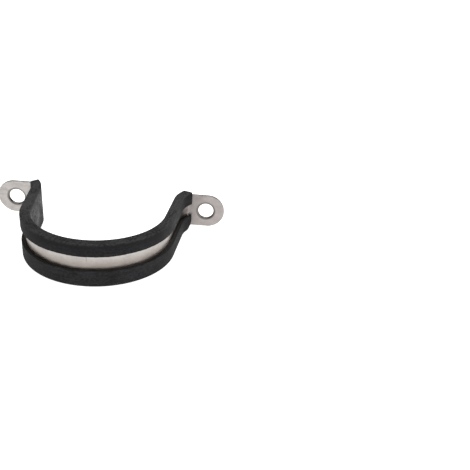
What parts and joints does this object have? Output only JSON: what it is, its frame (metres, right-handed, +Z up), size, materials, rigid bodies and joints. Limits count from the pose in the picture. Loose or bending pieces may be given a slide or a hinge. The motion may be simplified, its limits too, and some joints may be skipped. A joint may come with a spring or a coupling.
{
  "type": "u-shaped pipe clip",
  "caption": "U-shaped steel strip clip with flat bolt-on ears and a black rubber channel liner that cushions a pipe against a wall.",
  "frame": {"origin": "on the axis of the held pipe, at the lower edge of the liner that the clip stands on", "axes": "+Z up along the pipe axis, +X from bolt hole to bolt hole, +Y from the crown of the U towards the wall"},
  "size_m": [0.1356, 0.0749, 0.0246],
  "materials": {
    "stainless_strip": "fine brushed, satin",
    "liner_rubber": "smooth matt, extruded"
  },
  "bodies": {
    "root": {"steel_band": "stainless_strip", "rubber_liner": "liner_rubber"}
  },
  "joints": []
}
